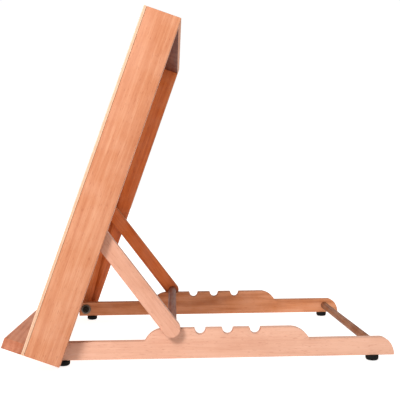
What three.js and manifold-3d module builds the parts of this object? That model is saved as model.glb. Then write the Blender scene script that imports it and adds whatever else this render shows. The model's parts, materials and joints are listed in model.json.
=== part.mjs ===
// Table-top display stand in beech: a deep box board with a ledge, two toothed base rails, and a prop behind.
// Millimetres. X is the width, the board faces -Y, Z is up. The origin is on the table, under the middle.
import * as THREE from "three";
import { mergeVertices } from "three/addons/utils/BufferGeometryUtils.js";
import Module from "manifold-3d";

const wasm = await Module();
wasm.setup();

// driving dimensions
const boardWidth = 380;
const boardLength = 510;
const boardLean = 19.8; // degrees back from upright, prop in the first notch
const sideThickness = 12;
const sideDepth = 51;
const panelThickness = 4;
const topRailThickness = 11.5;
const bottomRailHeight = 15;
const bottomRailDepth = 15;
const ledgeDepth = 29;
const ledgeThickness = 15.5;
const ledgeChamfer = 1.2;

const footHeight = 7.7;
const footDiameter = 18.4;
const footEdgeRadius = 3; // round the lower edge
const frontFootBack = 11; // feet, measured back from the board pivot
const rearFootBack = 451;

const railThickness = 12;
const railHeight = 25;
const railAhead = 13; // rail in front of the board pivot
const railBehind = 481.5; // rail behind the board pivot
const railTailLength = 19; // rounded tail
const rackHeight = 16.9;
const rackStart = 126.4;
const rackEnd = 360.2;
const rackRampRadius = 30;
const notchFirst = 165.8;
const notchPitch = 39.2;
const notchCount = 4;
const notchMouth = 16; // before its lips are rounded
const notchDepth = 8.9;
const notchFlare = 15; // degrees each wall opens from upright
const notchLipRadius = 1.2;

const pivotUp = 10.9; // board pivot, up the board from its lower end
const pivotIn = 14.8; // board pivot, in from the rear edge of the sides
const propPivotUp = 203.4;
const propPivotIn = 34.8;

const armWidth = 24.2;
const armThickness = 12;
const crossbarDiameter = 14;
const crossbarLift = 2.4; // its axis above the top of the rack
const crossbarAhead = 1.2; // its axis in front of the first notch's middle
const seatLip = 155; // degrees round from the tail where the first notch's front lip starts
const rearDowelDiameter = 12.5;
const rearDowelBack = 456;
const dowelSeatDepth = 8;

const boltDiameter = 6;
const boltHeadDiameter = 12;
const boltHeadHeight = 4;
const washerDiameter = 18;
const washerThickness = 1.5;
const armWasherThickness = 1;
const spacerDiameter = 16;
const insertDiameter = 9;
const insertLength = 9.5;
const socketAcross = 4.6;
const socketDepth = 2.2;
const ledgeScrewSpacing = 140;

const gap = 0.3; // between neighbours that touch
const runningGap = 0.3; // round a bolt or a dowel
const armClearance = 1; // between a prop arm and a base rail

// places worked out from the dimensions
const lean = THREE.MathUtils.degToRad(boardLean);
const flare = THREE.MathUtils.degToRad(notchFlare);
const boardDepth = sideDepth + panelThickness;
const sideInner = boardWidth / 2 - sideThickness;
const armOuter = sideInner - armWasherThickness - 2 * gap;
const armInner = armOuter - armThickness;
const railOuter = armInner - armClearance;
const railInner = railOuter - railThickness;
const railMiddle = (railInner + railOuter) / 2;
const railTop = footHeight + railHeight;
const rackTop = railTop + rackHeight;
const pivotHeight = footHeight + railHeight / 2;

const pivotToFront =
  pivotUp * Math.sin(lean) + (boardDepth + ledgeDepth - pivotIn) * Math.cos(lean);
const pivotY = (pivotToFront - railBehind) / 2;

// the crossbar sits in the first notch
const crossbarRadius = crossbarDiameter / 2;
const crossbarY = pivotY + notchFirst - crossbarAhead;
const crossbarZ = rackTop + crossbarLift;

// a point of the board, from distances up it and in from its rear edge, as Y and Z
function boardPoint(up, inward) {
  const along = up - pivotUp;
  const across = inward - pivotIn;
  return {
    y: pivotY + along * Math.sin(lean) - across * Math.cos(lean),
    z: pivotHeight + along * Math.cos(lean) + across * Math.sin(lean),
  };
}

const propPivot = boardPoint(propPivotUp, propPivotIn);
const armReach = Math.hypot(propPivot.y - crossbarY, propPivot.z - crossbarZ);
const armTurn = Math.atan2(crossbarY - propPivot.y, propPivot.z - crossbarZ);

function solid(geometry) {
  const bare = new THREE.BufferGeometry();
  const flat = geometry.index ? geometry.toNonIndexed() : geometry;
  bare.setAttribute("position", flat.getAttribute("position"));
  const merged = mergeVertices(bare, 1e-4);
  return new wasm.Manifold(
    new wasm.Mesh({
      numProp: 3,
      vertProperties: new Float32Array(merged.attributes.position.array),
      triVerts: new Uint32Array(merged.index.array),
    }),
  );
}

function toGeometry(manifold) {
  const mesh = manifold.getMesh();
  const geometry = new THREE.BufferGeometry();
  geometry.setAttribute(
    "position",
    new THREE.BufferAttribute(new Float32Array(mesh.vertProperties), 3),
  );
  geometry.setIndex(new THREE.BufferAttribute(new Uint32Array(mesh.triVerts), 1));
  geometry.computeVertexNormals();
  return geometry;
}

// a geometry with others cut from it
function cut(geometry, tools) {
  let body = solid(geometry);
  for (const tool of tools) {
    body = body.subtract(solid(tool));
  }
  return toGeometry(body);
}

function join(geometries) {
  let body = solid(geometries[0]);
  for (const next of geometries.slice(1)) {
    body = body.add(solid(next));
  }
  return toGeometry(body);
}

// a block from its two opposite corners
function block(x0, x1, y0, y1, z0, z1) {
  const made = new THREE.BoxGeometry(x1 - x0, y1 - y0, z1 - z0);
  return made.translate((x0 + x1) / 2, (y0 + y1) / 2, (z0 + z1) / 2);
}

// a round bar along X between two stations
function rodX(radius, x0, x1, y, z, sides = 32) {
  const made = new THREE.CylinderGeometry(radius, radius, x1 - x0, sides);
  made.rotateZ(-Math.PI / 2);
  return made.translate((x0 + x1) / 2, y, z);
}

// a round bar along Z, its ends of two radii
function rodZ(lower, upper, x, y, z0, z1, sides = 24) {
  const made = new THREE.CylinderGeometry(upper, lower, z1 - z0, sides);
  made.rotateX(Math.PI / 2);
  return made.translate(x, y, (z0 + z1) / 2);
}

// a round bar along Y, its ends of two radii
function rodY(front, back, x, y0, y1, z, sides = 24) {
  const made = new THREE.CylinderGeometry(back, front, y1 - y0, sides);
  return made.translate(x, (y0 + y1) / 2, z);
}

// an outline in Y and Z, pushed out along X between two stations
function plate(outline, x0, x1) {
  const made = new THREE.ExtrudeGeometry(outline, {
    depth: x1 - x0,
    bevelEnabled: false,
    curveSegments: 14,
  });
  const turn = new THREE.Matrix4().makeBasis(
    new THREE.Vector3(0, 1, 0),
    new THREE.Vector3(0, 0, 1),
    new THREE.Vector3(1, 0, 0),
  );
  made.applyMatrix4(turn);
  return made.translate(x0, 0, 0);
}

function finish(color, roughness, metalness) {
  return new THREE.MeshStandardMaterial({ color, roughness, metalness });
}

const beech = finish(0xe0a57c, 0.55, 0);
const plywood = finish(0xf0cfa4, 0.6, 0);
const rubber = finish(0x1d1c1b, 0.85, 0);
const blackSteel = finish(0x24211f, 0.5, 0.9);
const zincSteel = finish(0xa7a196, 0.4, 1);
const brass = finish(0xb8913f, 0.35, 1);
const nylon = finish(0x2b2a29, 0.6, 0);

const stand = new THREE.Group();
const board = new THREE.Group();
board.position.set(0, pivotY, pivotHeight);
board.rotation.x = -lean;
const prop = new THREE.Group();
prop.position.set(0, propPivot.y, propPivot.z);
prop.rotation.x = armTurn;
stand.add(board, prop);

function place(parent, name, geometry, material) {
  const mesh = new THREE.Mesh(geometry, material);
  mesh.name = name;
  parent.add(mesh);
}

// board coordinates, measured from the pivot
const lower = -pivotUp;
const upper = boardLength - pivotUp;
const rear = pivotIn;
const sidesFront = pivotIn - sideDepth;
const panelFront = pivotIn - boardDepth;
const propPinY = pivotIn - propPivotIn;
const propPinZ = propPivotUp - pivotUp;

// the first notch is round under the crossbar, and its rear wall is square to the thrust of the arms
function seatOutline(outline) {
  const radius = crossbarRadius + gap;
  const rampTop = (radius - crossbarLift * Math.cos(armTurn)) / Math.sin(armTurn);
  const lipTurn = THREE.MathUtils.degToRad(seatLip);
  outline.lineTo(crossbarY + rampTop + 0.6, rackTop);
  outline.lineTo(crossbarY + rampTop - 0.6, rackTop - 0.6 / Math.tan(Math.PI / 2 - armTurn));
  outline.absarc(crossbarY, crossbarZ, radius, armTurn - Math.PI / 2, -lipTurn, true);
  outline.lineTo(crossbarY - radius * Math.cos(Math.PI - lipTurn) - 1.2, rackTop);
}

// the other notches are a U with flared walls and rounded lips
function notchOutline(outline, middle) {
  const half = notchMouth / 2;
  const radius =
    (half * Math.cos(flare) - notchDepth * Math.sin(flare)) / (1 - Math.sin(flare));
  const lip = half + notchLipRadius * (1 / Math.cos(flare) - Math.tan(flare));
  const lipZ = rackTop - notchLipRadius;
  const centre = rackTop - notchDepth + radius;
  outline.absarc(middle + lip, lipZ, notchLipRadius, Math.PI / 2, Math.PI - flare, false);
  outline.absarc(middle, centre, radius, -flare, -Math.PI + flare, true);
  outline.absarc(middle - lip, lipZ, notchLipRadius, flare, Math.PI / 2, false);
}

function railOutline() {
  const outline = new THREE.Shape();
  const rampTurn = Math.acos(1 - rackHeight / rackRampRadius);
  const rampLength = rackRampRadius * Math.sin(rampTurn);
  const rampCentre = rackTop - rackRampRadius;
  outline.moveTo(pivotY - railAhead, footHeight);
  outline.lineTo(pivotY + railBehind, footHeight);
  const tail = pivotY + railBehind - railTailLength;
  outline.absellipse(tail, footHeight, railTailLength, railHeight, 0, Math.PI / 2, false);
  const rearRamp = pivotY + rackEnd - rampLength;
  outline.absarc(
    rearRamp, rampCentre, rackRampRadius, Math.PI / 2 - rampTurn, Math.PI / 2, false,
  );
  for (let n = notchCount - 1; n > 0; n -= 1) {
    notchOutline(outline, pivotY + notchFirst + n * notchPitch);
  }
  seatOutline(outline);
  const frontRamp = pivotY + rackStart + rampLength;
  outline.absarc(
    frontRamp, rampCentre, rackRampRadius, Math.PI / 2, Math.PI / 2 + rampTurn, false,
  );
  outline.lineTo(pivotY - railAhead, railTop);
  outline.closePath();
  return outline;
}

function makeRail(side, name) {
  const x0 = side > 0 ? railInner : -railOuter;
  const x1 = x0 + railThickness;
  const seat = side > 0 ? [railInner - 1, railInner + dowelSeatDepth] :
    [-railInner - dowelSeatDepth, -railInner + 1];
  const boltHole = rodX(
    boltDiameter / 2 + runningGap, x0 - 1, x1 + 1, pivotY, pivotHeight,
  );
  const dowelHole = rodX(
    rearDowelDiameter / 2 + gap, seat[0], seat[1], pivotY + rearDowelBack, pivotHeight, 40,
  );
  const screwHoles = [frontFootBack, rearFootBack].map((back) =>
    rodZ(1.9, 1.9, side * railMiddle, pivotY + back, footHeight - 1, 13.6),
  );
  const rail = plate(railOutline(), x0, x1);
  place(stand, name, cut(rail, [boltHole, dowelHole, ...screwHoles]), beech);
}

function makeFoot(x, y, name) {
  const radius = footDiameter / 2;
  const top = footHeight - gap;
  const edge = footEdgeRadius;
  const profile = [
    [2.1, 3.6],
    [4.6, 3.6],
    [4.6, 0],
    [radius - edge, 0],
    [radius - edge * 0.5, edge * 0.13],
    [radius - edge * 0.13, edge * 0.5],
    [radius, edge],
    [radius, top - 0.5],
    [radius - 0.3, top],
    [2.1, top],
    [2.1, 3.6],
  ].map(([r, z]) => new THREE.Vector2(r, z));
  const pad = new THREE.LatheGeometry(profile, 32);
  pad.rotateX(Math.PI / 2);
  pad.translate(x, y, 0);
  place(stand, name, pad, rubber);
}

function makeFootScrew(x, y, name) {
  const head = rodZ(3.5, 3.1, x, y, 1.3, 3.3);
  const shank = rodZ(1.6, 1.6, x, y, 3, 13);
  const slot = block(x - 0.5, x + 0.5, y - 2.4, y + 2.4, 1, 2.1);
  const cross = block(x - 2.4, x + 2.4, y - 0.5, y + 0.5, 1, 2.1);
  place(stand, name, cut(join([head, shank]), [slot, cross]), zincSteel);
}

// a bolt along X, its head towards the middle of the stand
function makeBolt(parent, side, headInner, tip, y, z, name) {
  const headOuter = headInner + boltHeadHeight;
  const span = (a, b) => (side > 0 ? [a, b] : [-b, -a]);
  const head = rodX(boltHeadDiameter / 2, ...span(headInner, headOuter), y, z);
  const shank = rodX(boltDiameter / 2, ...span(headOuter - 1, tip), y, z);
  const socket = rodX(socketAcross / 2, ...span(headInner - 1, headInner + socketDepth), y, z, 6);
  place(parent, name, cut(join([head, shank]), [socket]), blackSteel);
}

// a plain ring along X
function makeRing(parent, side, inner, outer, radius, bore, y, z, name, material) {
  const span = (a, b) => (side > 0 ? [a, b] : [-b, -a]);
  const body = rodX(radius, ...span(inner, outer), y, z);
  const hole = rodX(bore, ...span(inner - 1, outer + 1), y, z);
  place(parent, name, cut(body, [hole]), material);
}

function makeBoardSide(side, name) {
  const x0 = side > 0 ? sideInner : -boardWidth / 2;
  const panelGap = sidesFront + gap;
  const side0 = block(x0, x0 + sideThickness, panelGap, rear, lower, upper);
  const reach = insertLength + gap;
  const span = side > 0 ? [sideInner - 1, sideInner + reach] : [-sideInner - reach, -sideInner + 1];
  const bore = insertDiameter / 2 + gap;
  const holes = [rodX(bore, ...span, 0, 0), rodX(bore, ...span, propPinY, propPinZ)];
  place(board, name, cut(side0, holes), beech);
}

function makeArm(side, name) {
  const x0 = side > 0 ? armInner : -armOuter;
  const half = armWidth / 2;
  const outline = new THREE.Shape();
  outline.absarc(0, 0, half, 0, Math.PI, false);
  outline.absarc(0, -armReach, half, Math.PI, 2 * Math.PI, false);
  outline.closePath();
  const span = (a, b) => (side > 0 ? [a, b] : [-b, -a]);
  const headSeat = rodX(
    boltHeadDiameter / 2 + gap,
    ...span(armInner - 1, armInner + boltHeadHeight + 2 * gap), 0, 0,
  );
  const boltHole = rodX(boltDiameter / 2 + runningGap, ...span(armInner, armOuter + 1), 0, 0);
  const barSeat = rodX(
    crossbarRadius + gap, ...span(armInner - 1, armInner + dowelSeatDepth), 0, -armReach, 40,
  );
  const arm = plate(outline, x0, x0 + armThickness);
  place(prop, name, cut(arm, [headSeat, boltHole, barSeat]), beech);
}

const sides = [[1, "right"], [-1, "left"]];

for (const [side, word] of sides) {
  makeRail(side, "base_rail_" + word);
  for (const [back, end] of [[frontFootBack, "front"], [rearFootBack, "rear"]]) {
    const x = side * railMiddle;
    const y = pivotY + back;
    makeFoot(x, y, "foot_" + end + "_" + word);
    makeFootScrew(x, y, "foot_screw_" + end + "_" + word);
  }
  makeRing(
    stand, side, railOuter + gap, sideInner - gap, spacerDiameter / 2, boltDiameter / 2 + runningGap,
    pivotY, pivotHeight, "base_pivot_spacer_" + word, nylon,
  );
}

const dowelReach = railInner + dowelSeatDepth - gap;
place(
  stand,
  "rear_dowel",
  rodX(rearDowelDiameter / 2, -dowelReach, dowelReach, pivotY + rearDowelBack, pivotHeight, 40),
  beech,
);

const insertBore = boltDiameter / 2 + gap;
const insertEnd = sideInner + insertLength;
for (const [side, word] of sides) {
  makeBoardSide(side, "board_side_" + word);
  const washerInner = railInner - gap - washerThickness;
  makeRing(
    board, side, washerInner, railInner - gap, washerDiameter / 2, insertBore,
    0, 0, "base_pivot_washer_" + word, zincSteel,
  );
  const headInner = washerInner - gap - boltHeadHeight;
  makeBolt(board, side, headInner, insertEnd - 0.5, 0, 0, "base_pivot_bolt_" + word);
  makeBolt(
    board, side, armInner + gap, insertEnd - 0.5, propPinY, propPinZ, "prop_pivot_bolt_" + word,
  );
  makeRing(
    board, side, armOuter + gap, sideInner - gap, washerDiameter / 2, insertBore,
    propPinY, propPinZ, "prop_pivot_washer_" + word, zincSteel,
  );
  makeRing(
    board, side, sideInner, insertEnd, insertDiameter / 2, insertBore,
    0, 0, "base_pivot_insert_" + word, brass,
  );
  makeRing(
    board, side, sideInner, insertEnd, insertDiameter / 2, insertBore,
    propPinY, propPinZ, "prop_pivot_insert_" + word, brass,
  );
}

const railReach = sideInner - gap;
place(
  board,
  "board_top_rail",
  block(-railReach, railReach, sidesFront + gap, rear, upper - topRailThickness, upper),
  beech,
);

const screwZ = lower + ledgeThickness / 2;
const screwPlaces = [[-ledgeScrewSpacing, "left"], [0, "middle"], [ledgeScrewSpacing, "right"]];
const screwRear = sidesFront + bottomRailDepth;
const screwTip = panelFront - 14;

function ledgeScrewHoles(radius) {
  return screwPlaces.map(([x]) =>
    rodY(radius, radius, x, screwTip - gap, screwRear + 1, screwZ),
  );
}

const bottomRail = block(
  -railReach, railReach, sidesFront + gap, screwRear, lower, lower + bottomRailHeight,
);
const headSeats = screwPlaces.map(([x]) => rodY(4.8, 4.8, x, screwRear - 3.4, screwRear + 1, screwZ));
place(
  board,
  "board_bottom_rail",
  cut(bottomRail, [...ledgeScrewHoles(2.3), ...headSeats]),
  beech,
);

const panel = block(
  -boardWidth / 2, boardWidth / 2, panelFront, sidesFront, lower, upper,
);
place(board, "front_panel", cut(panel, ledgeScrewHoles(2.3)), plywood);

const ledgeBack = panelFront - gap;
const ledgeFront = panelFront - ledgeDepth;
const ledgeOutline = new THREE.Shape();
ledgeOutline.moveTo(ledgeBack, lower);
ledgeOutline.lineTo(ledgeBack, lower + ledgeThickness);
ledgeOutline.lineTo(ledgeFront + ledgeChamfer, lower + ledgeThickness);
ledgeOutline.lineTo(ledgeFront, lower + ledgeThickness - ledgeChamfer);
ledgeOutline.lineTo(ledgeFront, lower);
ledgeOutline.closePath();
const ledge = plate(ledgeOutline, -boardWidth / 2, boardWidth / 2);
place(board, "ledge", cut(ledge, ledgeScrewHoles(2.3)), beech);

for (const [x, word] of screwPlaces) {
  const head = rodY(3.2, 4.4, x, screwRear - 3, screwRear - 0.4, screwZ);
  const shank = rodY(1.9, 1.9, x, screwTip, screwRear - 2, screwZ);
  const slot = block(x - 0.5, x + 0.5, screwRear - 1.6, screwRear, screwZ - 2.4, screwZ + 2.4);
  const cross = block(x - 2.4, x + 2.4, screwRear - 1.6, screwRear, screwZ - 0.5, screwZ + 0.5);
  place(board, "ledge_screw_" + word, cut(join([head, shank]), [slot, cross]), zincSteel);
}

for (const [side, word] of sides) {
  makeArm(side, "prop_arm_" + word);
}
const barReach = armInner + dowelSeatDepth - gap;
place(
  prop,
  "prop_crossbar",
  rodX(crossbarRadius, -barReach, barReach, 0, -armReach, 48),
  beech,
);

export default stand;
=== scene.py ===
import json
import math

import bmesh
import bpy
from mathutils import Euler, Matrix, Vector

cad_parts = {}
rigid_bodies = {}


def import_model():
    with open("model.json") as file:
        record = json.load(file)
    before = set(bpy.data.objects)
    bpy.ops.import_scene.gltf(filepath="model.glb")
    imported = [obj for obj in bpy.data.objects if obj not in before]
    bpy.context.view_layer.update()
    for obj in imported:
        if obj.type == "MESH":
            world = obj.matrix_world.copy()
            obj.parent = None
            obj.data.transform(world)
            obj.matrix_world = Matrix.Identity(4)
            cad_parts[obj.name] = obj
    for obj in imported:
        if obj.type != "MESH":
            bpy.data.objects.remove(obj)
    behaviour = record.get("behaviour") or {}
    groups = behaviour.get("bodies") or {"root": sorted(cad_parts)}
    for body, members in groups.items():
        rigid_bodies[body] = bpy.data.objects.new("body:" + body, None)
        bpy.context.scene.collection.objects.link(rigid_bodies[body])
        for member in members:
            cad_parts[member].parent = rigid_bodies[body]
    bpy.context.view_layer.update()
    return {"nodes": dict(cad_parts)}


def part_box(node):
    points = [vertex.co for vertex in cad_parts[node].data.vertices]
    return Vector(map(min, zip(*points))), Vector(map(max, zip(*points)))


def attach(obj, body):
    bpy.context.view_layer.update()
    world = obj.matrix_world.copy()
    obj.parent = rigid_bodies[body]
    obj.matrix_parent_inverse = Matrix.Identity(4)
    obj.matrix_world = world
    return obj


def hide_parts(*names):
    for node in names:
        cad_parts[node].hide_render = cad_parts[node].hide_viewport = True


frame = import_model()
print("frame loaded")


# ---- the directions and places that the pieces share ----

def middle(node):
    low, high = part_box(node)
    return (low + high) / 2


propPivot = middle("prop_pivot_bolt_right")
barPlace = middle("prop_crossbar")
lean = math.radians(19.8)  # the board, back from upright
width = Vector((1, 0, 0))
depth = Vector((0, 1, 0))
upBoard = Vector((0, math.sin(lean), math.cos(lean)))
outOfBoard = Vector((0, -math.cos(lean), math.sin(lean)))
downArm = Vector((0, barPlace.y - propPivot.y, barPlace.z - propPivot.z)).normalized()
millimetre = 0.001


# ---- working on a piece ----

def selectOnly(piece):
    bpy.ops.object.select_all(action="DESELECT")
    piece.select_set(True)
    bpy.context.view_layer.objects.active = piece


# a CAD node's triangles as a mesh of its own, merged and cleared of the seams in its flat faces
def copyOf(node, name):
    piece = bpy.data.objects.new(name, frame["nodes"][node].data.copy())
    bpy.context.scene.collection.objects.link(piece)
    piece.data.materials.clear()
    selectOnly(piece)
    bpy.ops.object.mode_set(mode="EDIT")
    bpy.ops.mesh.select_all(action="SELECT")
    bpy.ops.mesh.remove_doubles(threshold=0.01 * millimetre)
    bpy.ops.mesh.dissolve_limited(angle_limit=math.radians(0.5))
    bpy.ops.object.mode_set(mode="OBJECT")
    return piece


def inBox(point, box, margin):
    low, high = box
    return all(low[n] - margin <= point[n] <= high[n] + margin for n in range(3))


# rounds a piece's sharp edges, but not the rims of the holes that its hardware sits in
def roundEdges(piece, amount, hardware=(), segments=3, sharp=35, wanted=None):
    boxes = [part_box(node) for node in hardware]
    selectOnly(piece)
    bpy.ops.object.mode_set(mode="EDIT")
    bpy.ops.mesh.select_mode(type="EDGE")
    bpy.ops.mesh.select_all(action="DESELECT")
    shape = bmesh.from_edit_mesh(piece.data)
    for edge in shape.edges:
        if not edge.is_manifold or edge.calc_face_angle() < math.radians(sharp):
            continue
        ends = [corner.co for corner in edge.verts]
        if any(all(inBox(end, box, millimetre) for end in ends) for box in boxes):
            continue
        if wanted is None or wanted(ends):
            edge.select = True
    shape.select_flush_mode()
    bmesh.update_edit_mesh(piece.data)
    bpy.ops.mesh.bevel(
        offset=amount, segments=segments, profile=0.5, affect="EDGES",
        clamp_overlap=False, material=1,
    )
    bpy.ops.object.mode_set(mode="OBJECT")


def finishPiece(piece, body, node, materials, smooth=35):
    for material in materials:
        piece.data.materials.append(material)
    selectOnly(piece)
    bpy.ops.object.shade_smooth_by_angle(angle=math.radians(smooth))
    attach(piece, body)
    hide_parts(node)


# ---- materials ----

# an sRGB hex colour as the linear one that the shaders use
def linear(code):
    parts = [int(code[n:n + 2], 16) / 255 for n in (1, 3, 5)]
    return [p / 12.92 if p <= 0.04045 else ((p + 0.055) / 1.055) ** 2.4 for p in parts] + [1]


def addNode(tree, kind, settings=None, values=None, links=None, stops=None):
    node = tree.nodes.new("ShaderNode" + kind)
    for name, value in (settings or {}).items():
        setattr(node, name, value)
    for name, value in (values or {}).items():
        node.inputs[name].default_value = value
    for name, source in (links or {}).items():
        tree.links.new(source, node.inputs[name])
    for n, (place, value) in enumerate(stops or []):
        points = node.color_ramp.elements
        point = points[n] if n < 2 else points.new(place)
        point.position = place
        point.color = linear(value) if isinstance(value, str) else (value, value, value, 1)
    return node


def newMaterial(name):
    material = bpy.data.materials.new(name)
    material.use_nodes = True
    material.node_tree.nodes.clear()
    return material, material.node_tree


def perMetre(spacing):  # a noise scale for features this far apart, in millimetres
    return 1 / (spacing * millimetre)


# Steamed beech, planed, sanded and oiled. It is pink-brown and close-grained: soft long bands from the
# growth rings, thin fibre lines, and small dark flecks that catch the eye up close. Arrises are paler: partly
# wear, partly painted highlight.
beechLook = {
    "wanderSpacing": 34, "bandSpacing": 17, "fibreSpacing": 2.6, "fleckSpacing": 1.5,  # millimetres
    "bandShare": 0.75, "fibreShare": 0.8,
    "fleckDepth": 0.3, "gloss": 0.22,
    "relief": 0.35, "reliefDepth": 0.15 * millimetre,
    "fleckTone": "#B57A52", "endTone": "#D9A07E", "wornAndHighlightTone": "#F7CDB2",
}


def beech(name, wood, arrisWearAndHighlight=False):
    material, tree = newMaterial(name)
    along = wood["grain"].normalized()
    across = wood["side"].normalized()
    through = along.cross(across)
    tilt = Euler((0, math.radians(wood["slope"][0]), math.radians(wood["slope"][1]))).to_matrix()
    turn = (tilt @ Matrix((along, across, through))).to_euler()
    place = addNode(tree, "TexCoord")
    log = addNode(
        tree, "Mapping", values={"Rotation": turn, "Location": Vector(wood["pith"]) * millimetre},
        links={"Vector": place.outputs["Object"]},
    )
    wander = addNode(
        tree, "VectorMath", {"operation": "MULTIPLY"}, {1: (0.16, 1, 1)}, {0: log.outputs[0]},
    )
    wanderNoise = addNode(
        tree, "TexNoise", None,
        {"Scale": perMetre(beechLook["wanderSpacing"]), "Detail": 2, "Roughness": 0.5},
        {"Vector": wander.outputs[0]},
    )
    drift = wood["drift"] * millimetre
    wanderStep = addNode(
        tree, "VectorMath", {"operation": "MULTIPLY_ADD"},
        {1: (0, drift, drift), 2: (0, -drift / 2, -drift / 2)}, {0: wanderNoise.outputs["Color"]},
    )
    wandered = addNode(
        tree, "VectorMath", {"operation": "ADD"}, None,
        {0: log.outputs[0], 1: wanderStep.outputs[0]},
    )
    rings = addNode(
        tree, "TexWave", {"wave_type": "RINGS", "rings_direction": "X", "wave_profile": "SIN"},
        {"Scale": math.pi / 10 / (wood["ringWidth"] * millimetre), "Distortion": 0},
        {"Vector": wandered.outputs[0]},
    )
    bandPlace = addNode(
        tree, "VectorMath", {"operation": "MULTIPLY"}, {1: (0.05, 1, 1)}, {0: log.outputs[0]},
    )
    bands = addNode(
        tree, "TexNoise", None,
        {"Scale": perMetre(beechLook["bandSpacing"]), "Detail": 3, "Roughness": 0.55},
        {"Vector": bandPlace.outputs[0]},
    )
    # the fibres are finer than this in the wood, and are drawn coarse enough to show
    fibrePlace = addNode(
        tree, "VectorMath", {"operation": "MULTIPLY"}, {1: (0.03, 1, 1)}, {0: log.outputs[0]},
    )
    fibres = addNode(
        tree, "TexNoise", None,
        {"Scale": perMetre(beechLook["fibreSpacing"]), "Detail": 5, "Roughness": 0.7},
        {"Vector": fibrePlace.outputs[0]},
    )
    # real flecks are 1 to 3 mm long; these are about twice that, so that they show
    fleckPlace = addNode(
        tree, "VectorMath", {"operation": "MULTIPLY"}, {1: (0.2, 1, 1)}, {0: log.outputs[0]},
    )
    fleckNoise = addNode(
        tree, "TexNoise", None,
        {"Scale": perMetre(beechLook["fleckSpacing"]), "Detail": 1, "Roughness": 0.5},
        {"Vector": fleckPlace.outputs[0]},
    )
    flecks = addNode(
        tree, "ValToRGB", stops=[(0.62, 0.0), (0.74, 1.0)], links={"Fac": fleckNoise.outputs[0]},
    )
    ringShare = addNode(
        tree, "Math", {"operation": "MULTIPLY_ADD"},
        {1: wood["ringShare"], 2: 0.5 - 0.5 * wood["ringShare"]}, {0: rings.outputs["Fac"]},
    )
    bandShare = addNode(
        tree, "Math", {"operation": "MULTIPLY_ADD"},
        {1: beechLook["bandShare"], 2: -beechLook["bandShare"] / 2}, {0: bands.outputs[0]},
    )
    fibreShare = addNode(
        tree, "Math", {"operation": "MULTIPLY_ADD"},
        {1: beechLook["fibreShare"], 2: -beechLook["fibreShare"] / 2}, {0: fibres.outputs[0]},
    )
    ringsAndBands = addNode(
        tree, "Math", {"operation": "ADD"}, None, {0: ringShare.outputs[0], 1: bandShare.outputs[0]},
    )
    figure = addNode(
        tree, "Math", {"operation": "ADD"}, None, {0: ringsAndBands.outputs[0], 1: fibreShare.outputs[0]},
    )
    dark, mid, pale = wood["tones"]
    colour = addNode(
        tree, "ValToRGB", stops=[(0.12, dark), (0.9, pale), (0.5, mid)], links={"Fac": figure.outputs[0]},
    )
    fleckMark = addNode(
        tree, "Math", {"operation": "MULTIPLY"}, {1: beechLook["fleckDepth"]}, {0: flecks.outputs[0]},
    )
    flecked = addNode(
        tree, "MixRGB", {"blend_type": "MULTIPLY"}, {"Color2": linear(beechLook["fleckTone"])},
        {"Fac": fleckMark.outputs[0], "Color1": colour.outputs[0]},
    )
    # end grain drinks more oil and goes darker
    endOn = addNode(
        tree, "VectorMath", {"operation": "DOT_PRODUCT"}, {1: along}, {0: place.outputs["Normal"]},
    )
    endSize = addNode(tree, "Math", {"operation": "ABSOLUTE"}, None, {0: endOn.outputs["Value"]})
    endMask = addNode(
        tree, "ValToRGB", stops=[(0.72, 0.0), (0.95, 0.45)], links={"Fac": endSize.outputs[0]},
    )
    ended = addNode(
        tree, "MixRGB", {"blend_type": "MULTIPLY"}, {"Color2": linear(beechLook["endTone"])},
        {"Fac": endMask.outputs[0], "Color1": flecked.outputs[0]},
    )
    # the paler arris comes and goes along its length; it is partly wear and partly a painted highlight
    wearAndHighlightNoise = addNode(
        tree, "TexNoise", None, {"Scale": perMetre(30), "Detail": 3}, {"Vector": place.outputs["Object"]},
    )
    wearAndHighlightMask = addNode(
        tree, "ValToRGB", stops=[(0.35, 0.25 if arrisWearAndHighlight else 0.0), (0.65, 0.8 if arrisWearAndHighlight else 0.08)],
        links={"Fac": wearAndHighlightNoise.outputs[0]},
    )
    wearAndHighlightMixed = addNode(
        tree, "MixRGB", {"blend_type": "MIX"}, {"Color2": linear(beechLook["wornAndHighlightTone"])},
        {"Fac": wearAndHighlightMask.outputs[0], "Color1": ended.outputs[0]},
    )
    sheen = addNode(
        tree, "MapRange", None,
        {"From Min": 0.3, "From Max": 0.7, "To Min": 0.36 if arrisWearAndHighlight else 0.46, "To Max": 0.5 if arrisWearAndHighlight else 0.62},
        {"Value": fibres.outputs[0]},
    )
    relief = addNode(
        tree, "Math", {"operation": "MULTIPLY_ADD"}, {1: -0.6}, {0: flecks.outputs[0], 2: fibres.outputs[0]},
    )
    bump = addNode(
        tree, "Bump", None,
        {"Strength": beechLook["relief"], "Distance": beechLook["reliefDepth"]},
        {"Height": relief.outputs[0]},
    )
    surface = addNode(
        tree, "BsdfPrincipled", None,
        {"IOR": 1.48, "Specular IOR Level": wood.get("gloss", beechLook["gloss"])},
        {"Base Color": wearAndHighlightMixed.outputs[0], "Roughness": sheen.outputs[0], "Normal": bump.outputs[0]},
    )
    addNode(tree, "OutputMaterial", links={"Surface": surface.outputs[0]})
    return material


def beechPair(name, wood):
    return [beech(name + ", planed and oiled beech", wood), beech(name + ", rubbed beech arris", wood, True)]


# the inner faces of the box sides and prop arms are given a deeper orange: painted shade
innerPaintedShadeTones = ("#A8481A", "#CC6A32", "#DA8248")
# the two cross rails are painted darkest on their inner faces, as painted shade
railInnerPaintedShadeTones = ("#3C1206", "#561E0A", "#682C14")


# moves the faces that point inwards to a third material with darker tones, as painted shade
def paintInnerShade(piece, name, wood, inward, tones=innerPaintedShadeTones):
    for face in piece.data.polygons:
        if face.material_index == 0 and face.normal.dot(inward) > 0.9:
            face.material_index = 2
    return beechPair(name, wood) + [beech(name + ", inner beech with painted shade", {**wood, "tones": tones})]


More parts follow.
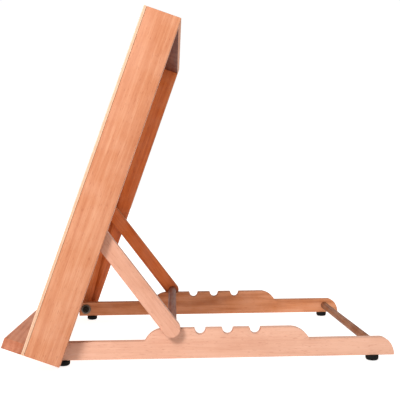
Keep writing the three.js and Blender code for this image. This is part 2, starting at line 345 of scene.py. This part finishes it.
# Birch plywood, face sanded and lacquered. It is cream and even, with fine short grain lines.
def plywoodFace(grain, side):
    material, tree = newMaterial("birch plywood, sanded and lacquered face")
    turn = Matrix((grain, side, grain.cross(side))).to_euler()
    place = addNode(tree, "TexCoord")
    sheet = addNode(tree, "Mapping", values={"Rotation": turn}, links={"Vector": place.outputs["Object"]})
    clouds = addNode(
        tree, "TexNoise", None, {"Scale": perMetre(60), "Detail": 3, "Roughness": 0.5},
        {"Vector": sheet.outputs[0]},
    )
    figurePlace = addNode(
        tree, "VectorMath", {"operation": "MULTIPLY"}, {1: (0.12, 1, 1)}, {0: sheet.outputs[0]},
    )
    figure = addNode(
        tree, "TexNoise", None, {"Scale": perMetre(26), "Detail": 4, "Roughness": 0.6, "Distortion": 0.6},
        {"Vector": figurePlace.outputs[0]},
    )
    # pores are drawn about three times their real width, so that they show
    porePlace = addNode(
        tree, "VectorMath", {"operation": "MULTIPLY"}, {1: (0.05, 1, 1)}, {0: sheet.outputs[0]},
    )
    pores = addNode(
        tree, "TexNoise", None, {"Scale": perMetre(1.4), "Detail": 2, "Roughness": 0.6},
        {"Vector": porePlace.outputs[0]},
    )
    mixed = addNode(
        tree, "Math", {"operation": "MULTIPLY_ADD"}, {1: 0.35}, {0: pores.outputs[0], 2: figure.outputs[0]},
    )
    colour = addNode(
        tree, "ValToRGB", stops=[(0.45, "#B9926B"), (0.92, "#D6B690"), (0.68, "#C9A57E")],
        links={"Fac": mixed.outputs[0]},
    )
    clouded = addNode(
        tree, "MixRGB", {"blend_type": "MULTIPLY"}, {"Color2": linear("#E2C09A")},
        {"Fac": clouds.outputs[0], "Color1": colour.outputs[0]},
    )
    sheen = addNode(
        tree, "MapRange", None, {"To Min": 0.36, "To Max": 0.52}, {"Value": pores.outputs[0]},
    )
    bump = addNode(
        tree, "Bump", None, {"Strength": 0.25, "Distance": 0.1 * millimetre}, {"Height": pores.outputs[0]},
    )
    surface = addNode(
        tree, "BsdfPrincipled", None, {"IOR": 1.5, "Coat Weight": 0.15, "Coat Roughness": 0.3},
        {"Base Color": clouded.outputs[0], "Roughness": sheen.outputs[0], "Normal": bump.outputs[0]},
    )
    addNode(tree, "OutputMaterial", links={"Surface": surface.outputs[0]})
    return material


# The sawn edge of three-ply birch. Two pale outer plies show with a slightly darker core between them.
def plywoodEdge(through, start, thickness):
    material, tree = newMaterial("birch plywood, sawn and sanded edge")
    place = addNode(tree, "TexCoord")
    reach = addNode(
        tree, "VectorMath", {"operation": "DOT_PRODUCT"}, {1: through}, {0: place.outputs["Object"]},
    )
    layer = addNode(
        tree, "MapRange", None, {"From Min": start, "From Max": start + thickness},
        {"Value": reach.outputs["Value"]},
    )
    plies = addNode(
        tree, "ValToRGB",
        stops=[(0.0, "#DDBA9E"), (1.0, "#DDBA9E"), (0.27, "#DAB598"), (0.31, "#BE9474"), (0.36, "#D0A88A"),
               (0.64, "#D0A88A"), (0.69, "#BE9474"), (0.73, "#DAB598")],
        links={"Fac": layer.outputs[0]},
    )
    fibres = addNode(
        tree, "TexNoise", None, {"Scale": perMetre(4), "Detail": 4, "Roughness": 0.7},
        {"Vector": place.outputs["Object"]},
    )
    stain = addNode(
        tree, "ValToRGB", stops=[(0.35, 0.3), (0.65, 0.0)], links={"Fac": fibres.outputs[0]},
    )
    colour = addNode(
        tree, "MixRGB", {"blend_type": "MULTIPLY"}, {"Color2": linear("#DDA77C")},
        {"Fac": stain.outputs[0], "Color1": plies.outputs[0]},
    )
    sheen = addNode(
        tree, "MapRange", None, {"To Min": 0.5, "To Max": 0.7}, {"Value": fibres.outputs[0]},
    )
    bump = addNode(
        tree, "Bump", None, {"Strength": 0.3, "Distance": 0.1 * millimetre}, {"Height": fibres.outputs[0]},
    )
    surface = addNode(
        tree, "BsdfPrincipled", None, {"IOR": 1.48},
        {"Base Color": colour.outputs[0], "Roughness": sheen.outputs[0], "Normal": bump.outputs[0]},
    )
    addNode(tree, "OutputMaterial", links={"Surface": surface.outputs[0]})
    return material


# A smaller surface of one material: two tones, a grain, and a roughness that wanders between two values.
def plainSurface(name, look):
    material, tree = newMaterial(name)
    place = addNode(tree, "TexCoord")
    clouds = addNode(
        tree, "TexNoise", None, {"Scale": perMetre(look["cloudSize"]), "Detail": 4, "Roughness": 0.6},
        {"Vector": place.outputs["Object"]},
    )
    grain = addNode(
        tree, "TexNoise", None, {"Scale": perMetre(look["grainSize"]), "Detail": 2, "Roughness": 0.6},
        {"Vector": place.outputs["Object"]},
    )
    mixed = addNode(
        tree, "Math", {"operation": "MULTIPLY_ADD"}, {1: 0.4}, {0: grain.outputs[0], 2: clouds.outputs[0]},
    )
    colour = addNode(
        tree, "ValToRGB", stops=[(0.45, look["tones"][0]), (0.95, look["tones"][1])],
        links={"Fac": mixed.outputs[0]},
    )
    rough = addNode(
        tree, "MapRange", None,
        {"From Min": 0.45, "From Max": 0.95, "To Min": look["roughness"][0], "To Max": look["roughness"][1]},
        {"Value": mixed.outputs[0]},
    )
    bump = addNode(
        tree, "Bump", None, {"Strength": look["relief"], "Distance": 0.1 * millimetre},
        {"Height": grain.outputs[0]},
    )
    surface = addNode(
        tree, "BsdfPrincipled", None,
        {"Metallic": look["metal"], "Specular IOR Level": look.get("gloss", 0.5)},
        {"Base Color": colour.outputs[0], "Roughness": rough.outputs[0], "Normal": bump.outputs[0]},
    )
    if not look["metal"]:
        surface.inputs["IOR"].default_value = look["ior"]
    addNode(tree, "OutputMaterial", links={"Surface": surface.outputs[0]})
    return material


# Black rubber, moulded. Matt, with a faint grey bloom and a fine spark-eroded grain.
rubber = plainSurface("black rubber, moulded", {
    "cloudSize": 6, "grainSize": 0.6, "tones": ("#080707", "#121110"), "roughness": (0.7, 0.9),
    "relief": 0.4, "metal": 0, "ior": 1.52, "gloss": 0.15,
})
# Steel, blacked. Nearly black, with a satin gleam that is patchy where oil has dried.
blackSteel = plainSurface("steel, black oxide", {
    "cloudSize": 3, "grainSize": 0.5, "tones": ("#15130F", "#34302B"), "roughness": (0.34, 0.52),
    "relief": 0.25, "metal": 1,
})
# Steel, bright zinc plated. It is toned down to a brownish mid grey, with a faint spangle.
zincSteel = plainSurface("steel, bright zinc plated", {
    "cloudSize": 2.5, "grainSize": 0.5, "tones": ("#55504A", "#7A746B"), "roughness": (0.42, 0.58),
    "relief": 0.2, "metal": 1,
})
# Brass, turned. Yellow, with dull patches where it has begun to tarnish.
brass = plainSurface("brass, turned", {
    "cloudSize": 3, "grainSize": 0.4, "tones": ("#8F6D2C", "#CFA552"), "roughness": (0.24, 0.4),
    "relief": 0.2, "metal": 1,
})
# Nylon, moulded. Dark grey, waxy, with a soft shine.
nylon = plainSurface("nylon, moulded", {
    "cloudSize": 5, "grainSize": 0.5, "tones": ("#232220", "#383633"), "roughness": (0.42, 0.58),
    "relief": 0.2, "metal": 0, "ior": 1.53,
})
print("materials ready")


# ---- base: two rails, a dowel, feet and their screws ----

hardwareOfRail = {
    word: ["base_pivot_bolt_" + word, "rear_dowel", "foot_screw_front_" + word, "foot_screw_rear_" + word]
    for word in ("right", "left")
}
rails = {
    "arris": 0.9 * millimetre,
    "wood": {
        "right": {
            "grain": depth, "side": Vector((0, 0, 1)), "pith": (31, -38, 62), "slope": (1.6, 1.1),
            "ringWidth": 5.2, "drift": 9, "ringShare": 0.14, "tones": ("#B8836A", "#C7977F", "#D0A48E"),
        },
        # the left rail's tones are darker and more orange than the right's: partly the wood's own tone,
        # partly painted shade
        "left": {
            "grain": depth, "side": Vector((0, 0, 1)), "pith": (410, 30, -58), "slope": (-1.4, 1.8),
            "ringWidth": 5.6, "drift": 11, "ringShare": 0.26, "tones": ("#98552F", "#B8754C", "#C78A68"),
        },
    },
}
for word in ("right", "left"):
    rail = copyOf("base_rail_" + word, "baseRail" + word.capitalize())
    roundEdges(rail, rails["arris"], hardwareOfRail[word])
    finishPiece(rail, "base", "base_rail_" + word,
                beechPair("base rail " + word, rails["wood"][word]))

dowelLook = {
    "arris": 0.8 * millimetre,
    "wood": {
        "grain": width, "side": depth, "pith": (120, 18, -28), "slope": (2.2, 1.2),
        "ringWidth": 3.4, "drift": 6, "ringShare": 0.25, "gloss": 0.1,
        "tones": ("#60321A", "#764528", "#8C5A3A"),
    },
}
rearDowel = copyOf("rear_dowel", "rearDowel")
roundEdges(rearDowel, dowelLook["arris"])
finishPiece(rearDowel, "base", "rear_dowel", beechPair("rear dowel", dowelLook["wood"]))

footLook = {"topEdge": 0.25 * millimetre, "smoothUnder": 50}
spacerLook = {"edge": 0.4 * millimetre}
for word in ("right", "left"):
    for end in ("front", "rear"):
        foot = copyOf("foot_" + end + "_" + word, "foot" + end.capitalize() + word.capitalize())
        roundEdges(foot, footLook["topEdge"], segments=2, sharp=60)
        finishPiece(foot, "base", "foot_" + end + "_" + word, [rubber, rubber],
                    footLook["smoothUnder"])
        screwNode = "foot_screw_" + end + "_" + word
        screw = copyOf(screwNode, "footScrew" + end.capitalize() + word.capitalize())
        finishPiece(screw, "base", screwNode, [zincSteel])
    spacer = copyOf("base_pivot_spacer_" + word, "pivotSpacer" + word.capitalize())
    roundEdges(spacer, spacerLook["edge"], segments=2, sharp=60)
    finishPiece(spacer, "base", "base_pivot_spacer_" + word, [nylon, nylon])
print("base ready")


# ---- board: sides, rails, face, ledge and the hardware in them ----

boardSides = {
    "arris": 0.9 * millimetre,
    "wood": {
        "right": {
            "grain": upBoard, "side": outOfBoard, "pith": (0, 34, 74), "slope": (1.2, 0.7),
            "ringWidth": 6.5, "drift": 10, "ringShare": 0.1, "tones": ("#A45F3C", "#B57552", "#C8916F"),
        },
        "left": {
            "grain": upBoard, "side": outOfBoard, "pith": (300, -24, -70), "slope": (-1.3, 1.0),
            "ringWidth": 6, "drift": 10, "ringShare": 0.1, "tones": ("#9E603C", "#B27350", "#C08866"),
        },
    },
}
for word in ("right", "left"):
    node = "board_side_" + word
    side = copyOf(node, "boardSide" + word.capitalize())
    roundEdges(side, boardSides["arris"], ["base_pivot_insert_" + word, "prop_pivot_insert_" + word])
    # the side's inner face is darkened with painted shade
    inward = -width if word == "right" else width
    finishPiece(side, "board", node,
                paintInnerShade(side, "board side " + word, boardSides["wood"][word], inward))

crossRails = {
    "arris": 0.6 * millimetre,
    "wood": {
        "top": {
            "grain": width, "side": outOfBoard, "pith": (90, 16, 60), "slope": (1.8, -1.2),
            "ringWidth": 5, "drift": 8, "ringShare": 0.16, "tones": ("#A2633D", "#B57651", "#C38B67"),
        },
        "bottom": {
            "grain": width, "side": outOfBoard, "pith": (-150, 30, -54), "slope": (-1.1, 1.7),
            "ringWidth": 4.6, "drift": 8, "ringShare": 0.2, "tones": ("#A0653F", "#B97D57", "#C89070"),
        },
    },
}
ledgeScrews = ["ledge_screw_left", "ledge_screw_middle", "ledge_screw_right"]
for word in ("top", "bottom"):
    node = "board_" + word + "_rail"
    rail = copyOf(node, word + "Rail")
    roundEdges(rail, crossRails["arris"], ledgeScrews)
    # the rail's inner face is darkened with painted shade
    inward = -upBoard if word == "top" else upBoard
    finishPiece(rail, "board", node,
                paintInnerShade(rail, word + " rail", crossRails["wood"][word], inward, railInnerPaintedShadeTones))

panelLook = {"thickness": 4 * millimetre, "arris": 0.35 * millimetre}
panel = copyOf("front_panel", "facePanel")
roundEdges(panel, panelLook["arris"], ledgeScrews, segments=2)
panelFront = max(corner.co.dot(outOfBoard) for corner in panel.data.vertices)
for face in panel.data.polygons:
    face.material_index = 0 if abs(face.normal.dot(outOfBoard)) > 0.9 else 1
finishPiece(panel, "board", "front_panel", [
    plywoodFace(upBoard, width),
    plywoodEdge(-outOfBoard, -panelFront, panelLook["thickness"]),
])

ledgeLook = {
    "arris": 0.7 * millimetre,
    "wood": {
        "grain": width, "side": outOfBoard, "pith": (60, 22, -40), "slope": (2.8, 1.9),
        "ringWidth": 7, "drift": 12, "ringShare": 0.22, "tones": ("#96522F", "#AE6E50", "#C08467"),
    },
}
ledge = copyOf("ledge", "displayLedge")
roundEdges(ledge, ledgeLook["arris"], ledgeScrews)
finishPiece(ledge, "board", "ledge", beechPair("ledge", ledgeLook["wood"]))

for node in ledgeScrews:
    screw = copyOf(node, "ledgeScrew" + node.split("_")[-1].capitalize())
    finishPiece(screw, "board", node, [zincSteel])

boltLook = {"edge": 0.5 * millimetre, "rim": 5.5 * millimetre}
washerLook = {"edge": 0.25 * millimetre}
for word in ("right", "left"):
    for pivot in ("base", "prop"):
        ending = pivot.capitalize() + word.capitalize()
        stem = pivot + "_pivot_"
        bolt = copyOf(stem + "bolt_" + word, "pivotBolt" + ending)
        centre = middle(stem + "bolt_" + word)
        roundEdges(bolt, boltLook["edge"], sharp=70, wanted=lambda ends: all(
            math.hypot(end.y - centre.y, end.z - centre.z) > boltLook["rim"] for end in ends
        ))
        finishPiece(bolt, "board", stem + "bolt_" + word, [blackSteel, blackSteel])
        washer = copyOf(stem + "washer_" + word, "pivotWasher" + ending)
        roundEdges(washer, washerLook["edge"], segments=2, sharp=60)
        finishPiece(washer, "board", stem + "washer_" + word, [zincSteel, zincSteel])
        insert = copyOf(stem + "insert_" + word, "pivotInsert" + ending)
        finishPiece(insert, "board", stem + "insert_" + word, [brass])
print("board ready")


# ---- prop: two arms and the crossbar ----

arms = {
    "arris": 1.1 * millimetre,
    "wood": {
        "right": {
            "grain": downArm, "side": width.cross(downArm), "pith": (40, 20, 66), "slope": (1.9, 0.9),
            "ringWidth": 5.5, "drift": 9, "ringShare": 0.1, "tones": ("#B67E62", "#C49078", "#CF9F88"),
        },
        # the left arm's tones are more orange than the right's: partly the wood's own tone, partly painted
        # shade
        "left": {
            "grain": downArm, "side": width.cross(downArm), "pith": (230, -26, 58), "slope": (-1.5, 1.4),
            "ringWidth": 5.5, "drift": 9, "ringShare": 0.12, "tones": ("#AE6C44", "#C07E55", "#CB9068"),
        },
    },
}
for word in ("right", "left"):
    node = "prop_arm_" + word
    arm = copyOf(node, "propArm" + word.capitalize())
    roundEdges(arm, arms["arris"], ["prop_pivot_bolt_" + word, "prop_crossbar"])
    # the arm's inner face is darkened with painted shade
    inward = -width if word == "right" else width
    finishPiece(arm, "prop", node,
                paintInnerShade(arm, "prop arm " + word, arms["wood"][word], inward))

crossbarLook = {
    "arris": 0.6 * millimetre,
    "wood": {
        "grain": width, "side": depth, "pith": (-70, 14, 26), "slope": (2.4, 1.6),
        "ringWidth": 3.2, "drift": 6, "ringShare": 0.25, "gloss": 0.1,
        # these dark tones are painted shade: the crossbar sits in shadow under the board
        "tones": ("#662F1A", "#82462C", "#98603F"),
    },
}
crossbar = copyOf("prop_crossbar", "propCrossbar")
roundEdges(crossbar, crossbarLook["arris"])
finishPiece(crossbar, "prop", "prop_crossbar", beechPair("crossbar", crossbarLook["wood"]))
print("prop ready")


# ---- the room: a pale floor, soft lights and the camera ----

# White acrylic sheet, matt, lit from below. It gives an even white with next to no shadow.
def acrylic():
    material, tree = newMaterial("white acrylic sheet, matt and backlit")
    place = addNode(tree, "TexCoord")
    tooth = addNode(
        tree, "TexNoise", None, {"Scale": perMetre(8), "Detail": 3}, {"Vector": place.outputs["Object"]},
    )
    colour = addNode(
        tree, "ValToRGB", stops=[(0.3, "#F8F8F8"), (0.7, "#FEFEFE")], links={"Fac": tooth.outputs[0]},
    )
    bump = addNode(
        tree, "Bump", None, {"Strength": 0.05, "Distance": 0.1 * millimetre}, {"Height": tooth.outputs[0]},
    )
    surface = addNode(
        tree, "BsdfPrincipled", None,
        {"Roughness": 0.9, "Specular IOR Level": 0.1, "Emission Color": linear("#FFFFFF"),
         "Emission Strength": room["glow"]},
        {"Base Color": colour.outputs[0], "Normal": bump.outputs[0]},
    )
    addNode(tree, "OutputMaterial", links={"Surface": surface.outputs[0]})
    return material


room = {
    "floorSize": 14,
    "glow": 0.8,
    "skyBehind": 1.02, "skyAround": 0.42,
    "keyPlace": (1.7, -1.0, 1.5), "keySize": 0.7, "keyPower": 56,
    "fillPlace": (1.9, 1.6, 0.9), "fillSize": 1.4, "fillPower": 6,
    "aim": (0, 0, 0.2),
}
bpy.ops.object.select_all(action="DESELECT")
bpy.ops.mesh.primitive_plane_add(size=room["floorSize"], location=(0, 0, 0))
floor = bpy.context.active_object
floor.name = "floor"
floor.data.materials.append(acrylic())

# the studio is bright behind the stand and dimmer to the sides and above
world = bpy.data.worlds.new("soft studio")
bpy.context.scene.world = world
world.use_nodes = True
studio = world.node_tree
looking = addNode(studio, "TexCoord")
behind = addNode(
    studio, "VectorMath", {"operation": "DOT_PRODUCT"}, {1: (-1, 0, 0)}, {0: looking.outputs["Generated"]},
)
brightness = addNode(
    studio, "MapRange", {"interpolation_type": "SMOOTHSTEP"},
    {"From Min": 0.2, "From Max": 0.8, "To Min": room["skyAround"], "To Max": room["skyBehind"]},
    {"Value": behind.outputs["Value"]},
)
studio.links.new(brightness.outputs[0], studio.nodes["Background"].inputs["Strength"])
studio.nodes["Background"].inputs["Color"].default_value = linear("#FFFFFF")


standOnly = bpy.data.collections.new("stand only")
for piece in bpy.context.scene.objects:
    if piece.type == "MESH" and piece != floor:
        standOnly.objects.link(piece)


def softLight(name, place, size, power):
    bpy.ops.object.light_add(type="AREA", location=place)
    light = bpy.context.active_object
    light.name = name
    light.data.shape = "DISK"
    light.data.size = size
    light.data.energy = power
    light.rotation_euler = (Vector(room["aim"]) - Vector(place)).to_track_quat("-Z", "Y").to_euler()
    light.light_linking.receiver_collection = standOnly  # the floor keeps its own even light


softLight("key", room["keyPlace"], room["keySize"], room["keyPower"])
softLight("fill", room["fillPlace"], room["fillSize"], room["fillPower"])

view = {
    "place": (1.0644, -0.0360, 0.2489),
    "heading": 88.565, "tip": 91.165, "roll": -0.665,  # degrees
    "lens": 57.02,
    "shift": (0.025, -0.0626),
}
bpy.ops.object.camera_add(location=view["place"])
camera = bpy.context.active_object
camera.name = "camera"
turn = (
    Matrix.Rotation(math.radians(view["heading"]), 3, "Z")
    @ Matrix.Rotation(math.radians(view["tip"]), 3, "X")
    @ Matrix.Rotation(math.radians(view["roll"]), 3, "Z")
)
camera.rotation_euler = turn.to_euler()
camera.data.lens = view["lens"]
camera.data.shift_x, camera.data.shift_y = view["shift"]
bpy.context.scene.camera = camera
bpy.context.scene.view_settings.view_transform = "Standard"
print("room ready")
